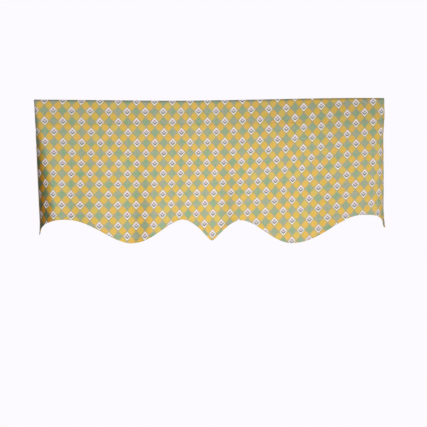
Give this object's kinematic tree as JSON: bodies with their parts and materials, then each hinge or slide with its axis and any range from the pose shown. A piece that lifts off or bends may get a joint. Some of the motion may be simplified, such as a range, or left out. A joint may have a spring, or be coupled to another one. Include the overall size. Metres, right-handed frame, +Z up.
{
  "type": "window valance",
  "caption": "Short shaped valance of printed cotton with a scalloped hem that comes to a small point in the middle, and a return at each end.",
  "frame": {"origin": "middle of the top edge, on the front face of the cloth", "axes": "+X to the right of someone who looks at the front, +Y towards the wall, +Z up"},
  "size_m": [1.3006, 0.0992, 0.5337],
  "materials": {
    "printed_cotton": "matt printed cotton in gold, green and white diamonds"
  },
  "bodies": {
    "root": {"valance": "printed_cotton"}
  },
  "joints": []
}
